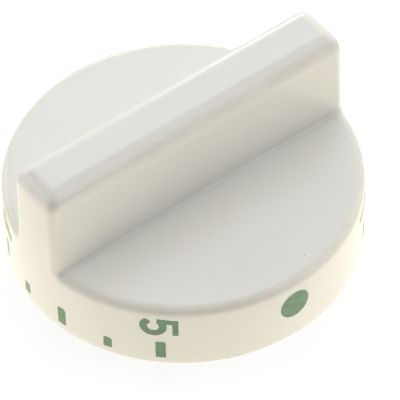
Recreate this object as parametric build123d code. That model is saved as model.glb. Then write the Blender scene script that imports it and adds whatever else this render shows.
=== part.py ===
from build123d import *
import math
import os

# Driving dimensions, in millimetres and degrees

# Round body, a drafted skirt under a flat top
rim_diameter = 45.0
body_height = 9.5
skirt_draft = 1.0

# Finger grip, a bar across the whole diameter, flush with the skirt at both ends
knob_height = 22.15
grip_width = 8.3
grip_draft = 1.5

# Rounded edges
outline_radius = 1.25
grip_top_radius = 2.35
grip_root_radius = 0.5

# Moulded shell
skirt_wall = 2.0
top_wall = 2.2
grip_side_wall = 2.25
grip_top_wall = 2.2
cavity_chamfer = 0.6
pocket_radius = 1.0

# Hub with a D-shaped socket, a push fit on a spindle with one flat
spindle_diameter = 6.0
spindle_across_flat = 4.6
spindle_clearance = 0.05
socket_depth = 13.0
guide_clearance = 0.3
guide_depth = 3.5
hub_wall = 2.2
hub_recess = 0.8

# Stiffening ribs between the hub and the skirt
rib_count = 4
rib_thickness = 1.3
rib_recess = 3.2
first_rib_angle = 45.0

# Heights and radii that follow
cavity_roof = body_height - top_wall
pocket_roof = knob_height - grip_top_wall
spindle_radius = spindle_diameter / 2
socket_radius = spindle_radius + spindle_clearance
socket_flat = spindle_across_flat - spindle_radius + spindle_clearance
guide_radius = spindle_radius + guide_clearance
hub_radius = guide_radius + hub_wall


def lean(height, draft):
    """How far a wall leans in over a height."""
    return height * math.tan(math.radians(draft))


def outer_radius(height):
    """Outside radius of the skirt's cone, which the grip's ends follow too."""
    return rim_diameter / 2 - lean(height, skirt_draft)


def skirt_cone(top, wall=0.0):
    """Solid cone from the rim plane to a height, a wall thinner than the skirt's outside."""
    rim = (outer_radius(0) - wall, 0)
    shoulder = (outer_radius(top) - wall, top)
    outline = Polyline((0, 0), rim, shoulder, (0, top), close=True)
    return revolve(make_face(Plane.XZ * outline), Axis.Z)


def grip_bar(top, wall=0.0):
    """Drafted bar along X from the rim plane to a height, a wall thinner than the grip's sides."""
    rim_width = grip_width + 2 * lean(body_height, grip_draft) - 2 * wall
    return extrude(Rectangle(2 * rim_diameter, rim_width), top, taper=grip_draft)


def slab(bottom, top):
    """Block wider than the knob between two heights."""
    return Pos(0, 0, bottom) * extrude(Rectangle(2 * rim_diameter, 2 * rim_diameter), top - bottom)


def outer_form():
    """Solid knob: one cone with a segment cut away each side of the grip, and all its edges rounded."""
    form = skirt_cone(knob_height) - (slab(body_height, 2 * knob_height) - grip_bar(knob_height))

    roots = form.edges().filter_by(Axis.X).group_by(Axis.Z)[0]
    form = fillet(roots, grip_root_radius)

    # One chain runs round the body's top edge, over the roots and up the grip's corners
    skirt = form.faces().filter_by(GeomType.CONE)[0]
    rims = skirt.edges().group_by(Axis.Z)
    outline = skirt.edges() - rims[0] - rims[-1] - skirt.edges().filter_by(GeomType.LINE)
    form = fillet(outline, outline_radius)

    return fillet(form.faces().sort_by(Axis.Z)[-1].edges(), grip_top_radius)


def hollow():
    """Space inside the moulded shell: the round cavity, with the grip's pocket above it."""
    cavity = skirt_cone(cavity_roof, skirt_wall)
    cavity = chamfer(cavity.faces().sort_by(Axis.Z)[-1].edges(), cavity_chamfer)
    pocket = grip_bar(pocket_roof, grip_side_wall) & skirt_cone(pocket_roof, skirt_wall)
    pocket = fillet(pocket.faces().sort_by(Axis.Z)[-1].edges(), pocket_radius)
    return cavity + pocket


def ribs():
    """Radial ribs that end inside the skirt's wall."""
    reach = rim_diameter / 2
    blade = Pos(reach / 2, 0, rib_recess) * extrude(
        Rectangle(reach, rib_thickness), cavity_roof - rib_recess
    )
    fan = Part() + [
        Rot(0, 0, first_rib_angle + n * 360 / rib_count) * blade for n in range(rib_count)
    ]
    return fan & skirt_cone(cavity_roof, skirt_wall / 2)


def hub():
    """Post under the grip, up to the roof of its pocket."""
    return Pos(0, 0, hub_recess) * extrude(Circle(hub_radius), pocket_roof - hub_recess)


def socket():
    """Space for the spindle: a round guide at the mouth, then a D that its flat keys into."""
    flat_side = Pos(0, socket_flat + socket_radius) * Rectangle(2 * socket_radius, 2 * socket_radius)
    keyed = extrude(Circle(socket_radius) - flat_side, socket_depth)
    guide = extrude(Circle(guide_radius), guide_depth)
    return Pos(0, 0, hub_recess) * (keyed + guide)


def knob():
    """The whole moulding."""
    form = outer_form()
    inside = (hub() + ribs()) & hollow()
    return form - hollow() + inside - socket()


os.makedirs("parts", exist_ok=True)
export_step(knob(), "parts/knob.step")
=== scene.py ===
"""Refrigerator temperature knob: a glossy warm-white moulding with a green scale printed round its skirt."""
import math

import bmesh
import bpy
from mathutils import Matrix, Vector


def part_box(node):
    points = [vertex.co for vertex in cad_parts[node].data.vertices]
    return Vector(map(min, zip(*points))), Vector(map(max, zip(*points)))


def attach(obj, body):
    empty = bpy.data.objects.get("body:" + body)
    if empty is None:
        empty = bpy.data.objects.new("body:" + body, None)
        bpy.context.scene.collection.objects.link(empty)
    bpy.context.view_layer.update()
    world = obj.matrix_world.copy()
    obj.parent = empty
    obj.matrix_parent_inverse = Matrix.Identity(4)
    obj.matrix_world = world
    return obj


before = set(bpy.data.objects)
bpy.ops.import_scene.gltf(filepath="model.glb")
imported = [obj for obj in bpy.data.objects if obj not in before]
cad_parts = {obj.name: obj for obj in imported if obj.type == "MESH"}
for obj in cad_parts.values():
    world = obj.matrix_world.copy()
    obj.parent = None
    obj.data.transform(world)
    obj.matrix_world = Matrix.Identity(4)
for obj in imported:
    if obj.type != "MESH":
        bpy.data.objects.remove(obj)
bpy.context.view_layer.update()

MM = 0.001

# Skirt that carries the print
knob_low, knob_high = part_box("knob")
RIM_RADIUS = (knob_high.x - knob_low.x) / 2
SKIRT_DRAFT = math.radians(1.0)

# Printed scale, with the index dot at the front
PRINT_TURN = math.radians(-0.3)
DOT_TURN = math.radians(-0.5)
FIRST_FIGURE = math.radians(44.0)
FIGURE_COUNT = 5
MARKS_A_FIGURE = 4
INK_FILM = 0.012 * MM
INK_SINK = 0.04 * MM
WRAP_STEP = 0.3 * MM
WELD = 0.001 * MM

# Index dot
DOT_RADIUS = 2.08 * MM
DOT_HEIGHT = 5.44 * MM

# Tick marks
TICK_FOOT = 0.92 * MM
LONG_TICK = 2.92 * MM
LONG_TICK_WIDTH = 1.25 * MM
SHORT_TICK = 1.76 * MM
SHORT_TICK_WIDTH = 1.12 * MM
TICK_HEAD_CORNER = 0.34 * MM
TICK_FOOT_CORNER = 0.14 * MM

# Figures, drawn upright in millimetres and degrees, and then laid on their side
FIGURE_TALL = 4.74
FIGURE_WIDE = 3.28
FIGURE_PEN = 0.95
FIGURE_FOOT = 4.98 * MM
FIGURE_SETBACK = 0.15
ARC_STEP = 6

# Plastic
PLASTIC_IOR = 1.58
PALE_PLASTIC = (0.844, 0.84, 0.795)
DEEP_PLASTIC = (0.832, 0.826, 0.778)
PLASTIC_ROUGHNESS = (0.13, 0.18)
GLOW_WEIGHT = 0.12
GLOW_REACH = (1.0, 0.8, 0.5)
GLOW_SCALE = 1.2 * MM
RIPPLE_DEPTH = 0.05 * MM
RIPPLE_STRENGTH = 0.04

# Waves of noise in a metre, and the stretch of its values that a change of finish spans
TONE_WAVES = 90
GLOSS_WAVES = 400
RIPPLE_WAVES = 2200
MOTTLE_WAVES = 1500
INK_GLOSS_WAVES = 3000
NOISE_SPAN = (0.3, 0.7)

# Dirt and painted shade on the rim's and the grip's rounded edges, and painted shade in the grip's root:
# where each sits on a section, how its share falls off from there, and its patches
# Brown dirt and painted shade on the rim's rounded edge
RIM_DIRT_AND_SHADE = (0.78, 0.73, 0.59)
RIM_EDGE = Vector((21.95, 9.2, 0)) * MM
RIM_SPREAD = (0.2 * MM, 0.9 * MM)
RIM_SHARE = 0.52
# Brown dirt and painted shade on the grip's rounded top edges
GRIP_DIRT_AND_SHADE = (0.63, 0.59, 0.52)
GRIP_EDGE = Vector((3.6, 21.1, 0)) * MM
GRIP_SPREAD = (0.2 * MM, 1.4 * MM)
GRIP_SHARE = 0.38
# Painted shade: a dark line in the crease where the grip meets the disc
ROOT_PAINTED_SHADE = (0.44, 0.42, 0.30)
GRIP_ROOT = Vector((4.3, 9.6, 0)) * MM
ROOT_SPREAD = (0.15 * MM, 0.55 * MM)
ROOT_SHARE = 0.17
FINE_WAVES = 700
FINE_SPAN = (0.38, 0.66)
FINE_LEAST = 0.3
SOFT_WAVES = 260
SOFT_SPAN = (0.36, 0.64)
SOFT_LEAST = 0.5

# Painted highlight: a pale line along the grip, under its rounded top
PAINTED_HIGHLIGHT_LINE = (0.88, 0.868, 0.81)
LINE_HEIGHT = 19.5 * MM
LINE_HALF = 0.3 * MM
LINE_ENDS = (19.0 * MM, 20.5 * MM)

# Specks of dirt: place and radius in millimetres, and share of brown
SPECK_BROWN = (0.30, 0.22, 0.12)
SPECK_CORE = 0.3
SPECKS = (
    ((1.9, -3.8, 19.3), 0.16, 0.75),
    ((-5.5, -2.6, 21.7), 0.3, 0.2),
    ((-9.1, -3.3, 21.2), 0.3, 0.1),
    ((-9.4, -3.9, 14.5), 0.16, 0.16),
    ((3.3, -19.8, 9.5), 0.17, 0.4),
    ((-4.1, -22.0, 7.6), 0.22, 0.16),
    ((-9.0, -20.6, 0.1), 0.2, 0.5),
    ((-7.9, -21.1, 0.2), 0.18, 0.6),
    ((0.2, -22.5, 0.1), 0.22, 0.45),
    ((4.1, -22.1, 0.1), 0.2, 0.4),
)

# Ink
DEEP_INK = (0.115, 0.235, 0.132)
PALE_INK = (0.15, 0.288, 0.162)
INK_ROUGHNESS = (0.2, 0.26)

# Floor: what the camera sees of it, and the warm light that it sends back to the knob
FLOOR_HALF = 3.0
SEEN_COLOUR = (0.33, 0.33, 0.33)
SEEN_GLOW = (0.76, 0.76, 0.76)
FLOOR_COLOUR = (0.12, 0.12, 0.12)
FLOOR_BOUNCE = (1.14, 1.07, 0.91)
NEAR_BOUNCE = (1.34, 1.26, 1.05)
NEAR_REACH = (26 * MM, 38 * MM)
BACK_BOUNCE = (0.82, 0.79, 0.71)
BACK_REACH = (-34 * MM, 2 * MM)

# Room and lamps
ROOM_FILL = (0.02, 0.02, 0.02)
WHITE = (1.0, 1.0, 1.0)
BACKDROP_SPAN = (-0.6, -0.3)
LAMP_DISTANCE = 1.2
LARGE_BOX = 1.5
MIDDLE_BOX = 1.0
SMALL_BOX = 0.5

# Camera, fitted to the photograph's edges
IMAGE_WIDTH_PX = 400
FOCAL_LENGTH_PX = 3010.6
SENSOR_WIDTH = 36.0
CLIP_START = 0.01
CAMERA_AZIMUTH = math.radians(-36.126)
CAMERA_ELEVATION = math.radians(49.101)
CAMERA_ROLL = math.radians(-1.540)
CAMERA_DISTANCE = 369.52 * MM
CAMERA_AIM = Vector((0.10, -3.24, 6.79)) * MM


# Figures and marks as flat outlines

def oval_arc(centre, wide, tall, start, end):
    """Points round part of an oval of two half widths, from one angle to another in degrees."""
    first, last = math.radians(start), math.radians(end)
    count = max(2, math.ceil(abs(end - start) / ARC_STEP))
    points = []
    for n in range(count + 1):
        turn = first + (last - first) * n / count
        points.append((centre[0] + wide * math.cos(turn), centre[1] + tall * math.sin(turn)))
    return points


def arc(centre, radius, start, end):
    """Points round an arc, from one angle to another in degrees."""
    return oval_arc(centre, radius, radius, start, end)


def figure_one():
    """Stem with a curved flag at its top left."""
    stem_left = 1.4
    stem_right = stem_left + FIGURE_PEN
    flag_left = 0.5
    flag_sweep = 1.05
    flag_depth = 0.68
    flag_under = FIGURE_TALL - flag_sweep - flag_depth
    stem = [(stem_left, 0), (stem_right, 0), (stem_right, FIGURE_TALL)]
    brow = arc((flag_left, FIGURE_TALL), flag_sweep, 0, -90)
    return [stem + brow + [(flag_left, flag_under), (stem_left, flag_under)]]


def figure_two():
    """Hook over a long slope to a bar along the foot."""
    reach = FIGURE_WIDE / 2
    centre = (reach, FIGURE_TALL - reach)
    hook_tip, hook_end = 190, -38
    slope_foot = 1.35
    heel = FIGURE_PEN * 0.75
    outside = arc(centre, reach, hook_tip, hook_end)
    inside = arc(centre, reach - FIGURE_PEN, hook_end, hook_tip)
    bar = [(slope_foot, FIGURE_PEN), (FIGURE_WIDE, FIGURE_PEN), (FIGURE_WIDE, 0), (0, 0), (0, heel)]
    return [outside + bar + inside]


def figure_three():
    """Two oval bowls, the lower one larger, that meet at a short bar."""
    pen_tall = 0.85
    low_wide, low_tall = FIGURE_WIDE / 2, 1.36
    high_wide, high_tall = 1.5, 1.22
    low = (FIGURE_WIDE / 2 - 0.02, low_tall)
    high = (FIGURE_WIDE / 2 - 0.04, FIGURE_TALL - high_tall)
    bar_reach = 0.35
    bar = [
        (high[0] - bar_reach, high[1] - high_tall + pen_tall),
        (low[0] - bar_reach, low[1] + low_tall - pen_tall),
    ]
    return [
        oval_arc(low, low_wide, low_tall, -165, 51)
        + oval_arc(high, high_wide, high_tall, -42, 162)
        + oval_arc(high, high_wide - FIGURE_PEN, high_tall - pen_tall, 160, -86)
        + bar
        + oval_arc(low, low_wide - FIGURE_PEN, low_tall - pen_tall, 84, -156)
    ]


def figure_four():
    """Triangle with a window, against a stem."""
    stem_right = FIGURE_WIDE - 0.55
    stem_left = stem_right - FIGURE_PEN
    bar_low, bar_high = 1.0, 1.8
    peak = stem_left - 0.15
    shoulder = bar_high + 0.1
    window_left = 0.8
    window_top = FIGURE_TALL - 1.45
    outer = [
        (stem_left, 0), (stem_right, 0), (stem_right, bar_low), (FIGURE_WIDE, bar_low),
        (FIGURE_WIDE, bar_high), (stem_right, bar_high), (stem_right, FIGURE_TALL),
        (peak, FIGURE_TALL), (0, shoulder), (0, bar_low), (stem_left, bar_low),
    ]
    window = [(stem_left, bar_high), (window_left, bar_high), (stem_left, window_top)]
    return [outer, window]


def figure_five():
    """Flag along the top, a stem that leans a little, and a round open bowl with a blunt end."""
    flag_under = FIGURE_TALL - 0.73
    flag_end = 3.12
    stem_top, stem_foot = (0.45, FIGURE_TALL), (0.22, 2.19)
    stem_inside, stem_heel = 1.14, (1.04, 2.12)
    reach = FIGURE_WIDE / 2 + 0.02
    hollow = reach - FIGURE_PEN
    centre = (FIGURE_WIDE - reach, 1.70)
    bowl_inside = arc(centre, hollow, 142, -152)
    blunt_end = arc(centre, hollow + 0.22, -160, -158) + arc(centre, reach - 0.3, -152, -150)
    bowl_outside = arc(centre, reach, -143, 108)
    flag = [(stem_inside, flag_under), (flag_end, flag_under), (flag_end, FIGURE_TALL)]
    return [[stem_top, stem_foot, stem_heel] + bowl_inside + blunt_end + bowl_outside + flag]


def rounded_bar(width, length):
    """Upright bar, its foot at zero, with its head's corners rounder than its foot's."""
    half = width / 2
    head, foot = TICK_HEAD_CORNER, TICK_FOOT_CORNER
    return [
        arc((half - head, length - head), head, 0, 90)
        + arc((-half + head, length - head), head, 90, 180)
        + arc((-half + foot, foot), foot, 180, 270)
        + arc((half - foot, foot), foot, 270, 360)
    ]


# Print on the skirt

def skirt_radius(height):
    """Outside radius of the drafted skirt at a height."""
    return RIM_RADIUS - height * math.tan(SKIRT_DRAFT)


def flat_mesh(outlines):
    """A filled flat mesh of closed outlines, where an inner one is a window."""
    curve = bpy.data.curves.new("outline", "CURVE")
    curve.dimensions = "2D"
    curve.fill_mode = "BOTH"
    for outline in outlines:
        spline = curve.splines.new("POLY")
        spline.points.add(len(outline) - 1)
        spline.use_cyclic_u = True
        for point, (x, y) in zip(spline.points, outline):
            point.co = (x, y, 0, 1)
    holder = bpy.data.objects.new("outline", curve)
    mesh = bpy.data.meshes.new_from_object(holder)
    bpy.data.objects.remove(holder)
    bpy.data.curves.remove(curve)
    return mesh


def add_mark(film, outlines, place, angle):
    """Add one mark to a film: its outline is placed on the unrolled skirt, cut in strips and wrapped."""
    mesh = flat_mesh(outlines)
    mesh.transform(place)
    mark = bmesh.new()
    mark.from_mesh(mesh)
    bpy.data.meshes.remove(mesh)
    bmesh.ops.remove_doubles(mark, verts=mark.verts, dist=WELD)

    # Narrow strips follow the round of the skirt
    left = min(v.co.x for v in mark.verts)
    right = max(v.co.x for v in mark.verts)
    for n in range(1, math.ceil((right - left) / WRAP_STEP)):
        cut = Vector((left + n * WRAP_STEP, 0, 0))
        everything = mark.verts[:] + mark.edges[:] + mark.faces[:]
        bmesh.ops.bisect_plane(mark, geom=everything, plane_co=cut, plane_no=(1, 0, 0), dist=WELD)

    # The film's base lies under the plastic's surface, and its top stands a little proud
    risen = bmesh.ops.extrude_face_region(mark, geom=mark.faces[:], use_keep_orig=True)["geom"]
    top = [v for v in risen if isinstance(v, bmesh.types.BMVert)]
    bmesh.ops.translate(mark, verts=top, vec=(0, 0, INK_FILM + INK_SINK))
    bmesh.ops.translate(mark, verts=mark.verts, vec=(0, 0, -INK_SINK))

    for vert in mark.verts:
        along, height, depth = vert.co
        turn = angle + along / skirt_radius(height)
        radius = skirt_radius(height) + depth
        vert.co = (radius * math.sin(turn), -radius * math.cos(turn), height)

    # On so thin a film only the volume tells which side is out
    bmesh.ops.recalc_face_normals(mark, faces=mark.faces)
    if mark.calc_volume(signed=True) < 0:
        bmesh.ops.reverse_faces(mark, faces=mark.faces)

    wrapped = bpy.data.meshes.new("mark")
    mark.to_mesh(wrapped)
    mark.free()
    film.from_mesh(wrapped)
    bpy.data.meshes.remove(wrapped)


def ink_piece(name, film, ink):
    """Finish a piece of the print, which rides on the knob."""
    mesh = bpy.data.meshes.new(name)
    film.to_mesh(mesh)
    film.free()
    mesh.materials.append(ink)
    piece = bpy.data.objects.new(name, mesh)
    bpy.context.collection.objects.link(piece)
    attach(piece, "root")


def print_scale(ink):
    """The dot, and the ticks and figures, evenly spaced the long way round from figure 1 to figure 5."""
    film = bmesh.new()
    dot = [arc((0, 0), DOT_RADIUS, 0, 360 - ARC_STEP)]
    add_mark(film, dot, Matrix.Translation((0, DOT_HEIGHT, 0)), DOT_TURN)
    ink_piece("index_dot", film, ink)

    spaces = (FIGURE_COUNT - 1) * MARKS_A_FIGURE
    step = (2 * math.pi - 2 * FIRST_FIGURE) / spaces
    long_bar = rounded_bar(LONG_TICK_WIDTH, LONG_TICK)
    short_bar = rounded_bar(SHORT_TICK_WIDTH, SHORT_TICK)
    foot = Matrix.Translation((0, TICK_FOOT, 0))
    long_ticks, short_ticks = bmesh.new(), bmesh.new()
    for n in range(spaces + 1):
        angle = PRINT_TURN + FIRST_FIGURE + n * step
        if n % 2 == 0:
            add_mark(long_ticks, long_bar, foot, angle)
        else:
            add_mark(short_ticks, short_bar, foot, angle)
    ink_piece("long_ticks", long_ticks, ink)
    ink_piece("short_ticks", short_ticks, ink)

    # A figure's head points the way that the angle grows, and its left side is up
    lay = Matrix.Translation((0, FIGURE_FOOT, 0)) @ Matrix.Rotation(-math.pi / 2, 4, "Z")
    lay = lay @ Matrix.Scale(MM, 4) @ Matrix.Translation((-FIGURE_WIDE, -FIGURE_TALL / 2 - FIGURE_SETBACK, 0))
    figures = (figure_one, figure_two, figure_three, figure_four, figure_five)
    for n, figure in enumerate(figures):
        angle = PRINT_TURN + FIRST_FIGURE + n * MARKS_A_FIGURE * step
        film = bmesh.new()
        add_mark(film, figure(), lay, angle)
        ink_piece(f"figure_{n + 1}", film, ink)


# Nodes that the materials share

def bare_tree(owner):
    """The node tree of a material or a world, with nothing in it yet."""
    owner.use_nodes = True
    owner.node_tree.nodes.clear()
    return owner.node_tree


def new_material(name):
    """A material of one shader."""
    material = bpy.data.materials.new(name)
    tree = bare_tree(material)
    output = tree.nodes.new("ShaderNodeOutputMaterial")
    shader = tree.nodes.new("ShaderNodeBsdfPrincipled")
    tree.links.new(shader.outputs["BSDF"], output.inputs["Surface"])
    return material, tree, shader


def noise(tree, place, waves, detail, roughness=0.5):
    """Noise over the piece, with about so many waves in each metre."""
    node = tree.nodes.new("ShaderNodeTexNoise")
    node.inputs["Scale"].default_value = waves
    node.inputs["Detail"].default_value = detail
    node.inputs["Roughness"].default_value = roughness
    tree.links.new(place, node.inputs["Vector"])
    return node.outputs["Fac"]


def ramp(tree, value, low, high, out_low, out_high):
    """A smooth change from one number to another as a value rises."""
    node = tree.nodes.new("ShaderNodeMapRange")
    node.interpolation_type = "SMOOTHSTEP"
    node.inputs["From Min"].default_value = low
    node.inputs["From Max"].default_value = high
    node.inputs["To Min"].default_value = out_low
    node.inputs["To Max"].default_value = out_high
    tree.links.new(value, node.inputs["Value"])
    return node.outputs["Result"]


def mix(tree, share, first, second):
    """A colour between two, each a socket or a plain colour."""
    node = tree.nodes.new("ShaderNodeMix")
    node.data_type = "RGBA"
    tree.links.new(share, node.inputs["Factor"])
    for name, colour in (("A", first), ("B", second)):
        socket = next(s for s in node.inputs if s.name == name and s.type == "RGBA")
        if isinstance(colour, tuple):
            socket.default_value = (*colour, 1)
        else:
            tree.links.new(colour, socket)
    return next(s for s in node.outputs if s.type == "RGBA")


def reckon(tree, operation, first, second=None):
    """The outcome of a sum of one value, or of two, of which the second may be a plain number."""
    node = tree.nodes.new("ShaderNodeMath")
    node.operation = operation
    tree.links.new(first, node.inputs[0])
    if isinstance(second, float):
        node.inputs[1].default_value = second
    elif second is not None:
        tree.links.new(second, node.inputs[1])
    return node.outputs["Value"]


def vector_sum(tree, operation, place, vector):
    """The node for a sum of a place and a fixed vector."""
    node = tree.nodes.new("ShaderNodeVectorMath")
    node.operation = operation
    node.inputs[1].default_value = vector
    tree.links.new(place, node.inputs[0])
    return node


def piece_place(tree):
    """The place on the piece, in metres."""
    return tree.nodes.new("ShaderNodeTexCoord").outputs["Object"]


def distance_from(tree, place, point):
    """How far a place is from a point."""
    return vector_sum(tree, "DISTANCE", place, point).outputs["Value"]


def profile_place(tree, across, height):
    """A place on a section through the knob, from a distance across and a height."""
    node = tree.nodes.new("ShaderNodeCombineXYZ")
    tree.links.new(across, node.inputs["X"])
    tree.links.new(height, node.inputs["Y"])
    return node.outputs["Vector"]


def bump(tree, height, depth, strength):
    """A normal bent by a height."""
    node = tree.nodes.new("ShaderNodeBump")
    node.inputs["Strength"].default_value = strength
    node.inputs["Distance"].default_value = depth
    tree.links.new(height, node.inputs["Height"])
    return node.outputs["Normal"]


# Finishes of the knob

def dirt_and_painted_shade(tree, place, axes):
    """Shares of dirt and painted shade on the rim's and the grip's rounded edges, and of painted shade in the
    grip's root, thin and patchy.
    """
    on_plan = vector_sum(tree, "MULTIPLY", place, (1, 1, 0)).outputs["Vector"]
    from_axis = distance_from(tree, on_plan, (0, 0, 0))
    aside = reckon(tree, "ABSOLUTE", axes.outputs["Y"])
    rim_section = profile_place(tree, from_axis, axes.outputs["Z"])
    grip_section = profile_place(tree, aside, axes.outputs["Z"])
    # Brown dirt with painted shade on the rim's and the grip's edges, and painted shade in the grip's root
    rim = ramp(tree, distance_from(tree, rim_section, RIM_EDGE), *RIM_SPREAD, RIM_SHARE, 0)
    grip = ramp(tree, distance_from(tree, grip_section, GRIP_EDGE), *GRIP_SPREAD, GRIP_SHARE, 0)
    root = ramp(tree, distance_from(tree, grip_section, GRIP_ROOT), *ROOT_SPREAD, ROOT_SHARE, 0)

    # The rim's dirt and painted shade stop short of the grip's ends
    beside_grip = ramp(tree, aside, GRIP_ROOT.x, GRIP_ROOT.x + RIM_SPREAD[1], 0, 1)
    rim = reckon(tree, "MULTIPLY", rim, beside_grip)

    fine = ramp(tree, noise(tree, place, FINE_WAVES, 6, 0.7), *FINE_SPAN, FINE_LEAST, 1)
    soft = ramp(tree, noise(tree, place, SOFT_WAVES, 5, 0.6), *SOFT_SPAN, SOFT_LEAST, 1)
    rim = reckon(tree, "MULTIPLY", rim, fine)
    grip = reckon(tree, "MULTIPLY", grip, soft)
    root = reckon(tree, "MULTIPLY", root, soft)
    return rim, grip, root


def painted_highlight_line(tree, axes):
    """Share of the painted highlight line along the grip's faces."""
    off_line = reckon(tree, "ABSOLUTE", reckon(tree, "SUBTRACT", axes.outputs["Z"], LINE_HEIGHT))
    across = ramp(tree, off_line, 0, LINE_HALF, 1, 0)
    along = ramp(tree, reckon(tree, "ABSOLUTE", axes.outputs["X"]), *LINE_ENDS, 1, 0)
    return reckon(tree, "MULTIPLY", across, along)


def speck_share(tree, place):
    """Share of brown in the specks."""
    total = None
    for point, radius, share in SPECKS:
        away = distance_from(tree, place, Vector(point) * MM)
        speck = ramp(tree, away, SPECK_CORE * radius * MM, radius * MM, share, 0)
        total = speck if total is None else reckon(tree, "MAXIMUM", total, speck)
    return total


def white_plastic():
    """Glossy moulded plastic, a little uneven, with dirt and painted shade on its rounded edges, painted
    shade in the grip's root, a painted highlight line along the grip, specks and a faint ripple.
    """
    material, tree, shader = new_material("moulded_white_plastic")
    place = piece_place(tree)
    axes = tree.nodes.new("ShaderNodeSeparateXYZ")
    tree.links.new(place, axes.inputs["Vector"])
    rim_dirt_and_shade, grip_dirt_and_shade, root_shade = dirt_and_painted_shade(tree, place, axes)
    tone = ramp(tree, noise(tree, place, TONE_WAVES, 3), *NOISE_SPAN, 0, 1)
    colour = mix(tree, tone, DEEP_PLASTIC, PALE_PLASTIC)
    # Dirt and painted shade on the rounded edges, and painted shade in the grip's root
    colour = mix(tree, rim_dirt_and_shade, colour, RIM_DIRT_AND_SHADE)
    colour = mix(tree, grip_dirt_and_shade, colour, GRIP_DIRT_AND_SHADE)
    colour = mix(tree, root_shade, colour, ROOT_PAINTED_SHADE)
    # Painted highlight: a pale line along the grip under its rounded top
    colour = mix(tree, painted_highlight_line(tree, axes), colour, PAINTED_HIGHLIGHT_LINE)
    colour = mix(tree, speck_share(tree, place), colour, SPECK_BROWN)
    gloss = ramp(tree, noise(tree, place, GLOSS_WAVES, 4), *NOISE_SPAN, *PLASTIC_ROUGHNESS)
    ripple = bump(tree, noise(tree, place, RIPPLE_WAVES, 2), RIPPLE_DEPTH, RIPPLE_STRENGTH)
    tree.links.new(colour, shader.inputs["Base Color"])
    tree.links.new(gloss, shader.inputs["Roughness"])
    tree.links.new(ripple, shader.inputs["Normal"])
    shader.inputs["IOR"].default_value = PLASTIC_IOR
    shader.inputs["Subsurface Weight"].default_value = GLOW_WEIGHT
    shader.inputs["Subsurface Radius"].default_value = GLOW_REACH
    shader.inputs["Subsurface Scale"].default_value = GLOW_SCALE
    return material


def green_ink():
    """Thin ink, a little mottled where the pad laid it on."""
    material, tree, shader = new_material("green_ink")
    place = piece_place(tree)
    mottle = ramp(tree, noise(tree, place, MOTTLE_WAVES, 3), *NOISE_SPAN, 0, 1)
    gloss = ramp(tree, noise(tree, place, INK_GLOSS_WAVES, 2), *NOISE_SPAN, *INK_ROUGHNESS)
    tree.links.new(mix(tree, mottle, DEEP_INK, PALE_INK), shader.inputs["Base Color"])
    tree.links.new(gloss, shader.inputs["Roughness"])
    return material


# Studio

def direction(azimuth, elevation):
    """Unit vector from the knob toward an azimuth, which is nought at the front, and an elevation."""
    flat = math.cos(elevation)
    return Vector((math.sin(azimuth) * flat, -math.cos(azimuth) * flat, math.sin(elevation)))


def seen_ray(tree):
    """One for a ray straight from the camera or through glass, and nought for other light."""
    path = tree.nodes.new("ShaderNodeLightPath")
    return reckon(tree, "MAXIMUM", path.outputs["Is Camera Ray"], path.outputs["Is Transmission Ray"])


def toward_front(tree, place):
    """How far a place or a direction reaches toward the photograph's side."""
    return vector_sum(tree, "DOT_PRODUCT", place, direction(CAMERA_AZIMUTH, 0)).outputs["Value"]


def white_floor():
    """Matte floor, near white where it is seen, with a warm bounce that fades behind, and open from below."""
    material = bpy.data.materials.new("white_floor")
    material.cycles.emission_sampling = "NONE"
    tree = bare_tree(material)
    place = piece_place(tree)
    seen = seen_ray(tree)
    near = ramp(tree, distance_from(tree, place, (0, 0, 0)), *NEAR_REACH, 1, 0)
    front = ramp(tree, toward_front(tree, place), *BACK_REACH, 0, 1)
    bounce = mix(tree, near, FLOOR_BOUNCE, NEAR_BOUNCE)
    bounce = mix(tree, front, BACK_BOUNCE, bounce)
    matte = tree.nodes.new("ShaderNodeBsdfDiffuse")
    tree.links.new(mix(tree, seen, FLOOR_COLOUR, SEEN_COLOUR), matte.inputs["Color"])
    glow = tree.nodes.new("ShaderNodeEmission")
    tree.links.new(mix(tree, seen, bounce, SEEN_GLOW), glow.inputs["Color"])
    lit = tree.nodes.new("ShaderNodeAddShader")
    tree.links.new(matte.outputs["BSDF"], lit.inputs[0])
    tree.links.new(glow.outputs["Emission"], lit.inputs[1])
    through = tree.nodes.new("ShaderNodeBsdfTransparent")
    side = tree.nodes.new("ShaderNodeNewGeometry")
    faced = tree.nodes.new("ShaderNodeMixShader")
    tree.links.new(side.outputs["Backfacing"], faced.inputs["Fac"])
    tree.links.new(lit.outputs["Shader"], faced.inputs[1])
    tree.links.new(through.outputs["BSDF"], faced.inputs[2])
    output = tree.nodes.new("ShaderNodeOutputMaterial")
    tree.links.new(faced.outputs["Shader"], output.inputs["Surface"])
    return material


def lay_floor():
    """Wide flat floor under the rim."""
    sheet = bmesh.new()
    bmesh.ops.create_grid(sheet, x_segments=1, y_segments=1, size=FLOOR_HALF)
    mesh = bpy.data.meshes.new("floor")
    sheet.to_mesh(mesh)
    sheet.free()
    mesh.materials.append(white_floor())
    floor = bpy.data.objects.new("floor", mesh)
    bpy.context.collection.objects.link(floor)


def light_world():
    """A white backdrop where it is seen, and behind the knob for gloss, in a room that is dim otherwise."""
    world = bpy.data.worlds.new("studio")
    bpy.context.scene.world = world
    world.cycles.sampling_method = "NONE"
    tree = bare_tree(world)
    way = tree.nodes.new("ShaderNodeTexCoord").outputs["Generated"]
    behind = ramp(tree, toward_front(tree, way), *BACKDROP_SPAN, 1, 0)
    gloss = tree.nodes.new("ShaderNodeLightPath").outputs["Is Glossy Ray"]
    white = reckon(tree, "MAXIMUM", seen_ray(tree), reckon(tree, "MULTIPLY", gloss, behind))
    sky = tree.nodes.new("ShaderNodeBackground")
    tree.links.new(mix(tree, white, ROOM_FILL, WHITE), sky.inputs["Color"])
    output = tree.nodes.new("ShaderNodeOutputWorld")
    tree.links.new(sky.outputs["Background"], output.inputs["Surface"])


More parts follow.
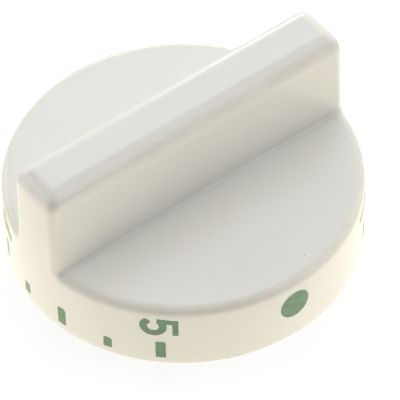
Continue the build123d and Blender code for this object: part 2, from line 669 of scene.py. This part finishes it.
def soft_lamp(name, azimuth, elevation, power, size):
    """A square white soft box that faces the knob from an azimuth and an elevation in degrees."""
    lamp = bpy.data.lights.new(name, "AREA")
    lamp.shape = "SQUARE"
    lamp.size = size
    lamp.energy = power
    way = direction(math.radians(azimuth), math.radians(elevation))
    holder = bpy.data.objects.new(name, lamp)
    holder.location = way * LAMP_DISTANCE
    holder.rotation_euler = way.to_track_quat("Z", "Y").to_euler()
    bpy.context.collection.objects.link(holder)
    return holder


def light_knob():
    """Soft boxes round the knob, the strongest at the photograph's right and behind the knob."""
    soft_lamp("top_lamp", 0, 88, 4.9, LARGE_BOX)
    back_lamp = soft_lamp("back_lamp", 144, 40, 8.9, LARGE_BOX)
    soft_lamp("right_lamp", 54, 25, 9.3, LARGE_BOX)
    soft_lamp("left_lamp", -126, 50, 1.5, LARGE_BOX)
    soft_lamp("left_low_lamp", -100, 20, 2.2, MIDDLE_BOX)
    soft_lamp("left_back_lamp", -150, 12, 4.1, MIDDLE_BOX)
    soft_lamp("edge_lamp", 144, 8, 1.7, SMALL_BOX)

    # This box's reflection would draw a hard line along the grip's rounded top
    back_lamp.visible_glossy = False


def place_camera():
    """Camera at the photograph's viewing angle."""
    lens = bpy.data.cameras.new("camera")
    lens.sensor_width = SENSOR_WIDTH
    lens.lens = FOCAL_LENGTH_PX / IMAGE_WIDTH_PX * SENSOR_WIDTH
    lens.clip_start = CLIP_START
    back = direction(CAMERA_AZIMUTH, CAMERA_ELEVATION)
    upright = back.to_track_quat("Z", "Y").to_matrix()
    camera = bpy.data.objects.new("camera", lens)
    camera.location = CAMERA_AIM + back * CAMERA_DISTANCE
    camera.rotation_euler = (upright @ Matrix.Rotation(CAMERA_ROLL, 3, "Z")).to_euler()
    bpy.context.collection.objects.link(camera)
    bpy.context.scene.camera = camera


plastic = white_plastic()
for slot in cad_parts["knob"].material_slots:
    slot.material = plastic
print_scale(green_ink())
lay_floor()
light_world()
light_knob()
place_camera()
bpy.context.scene.view_settings.view_transform = "Standard"
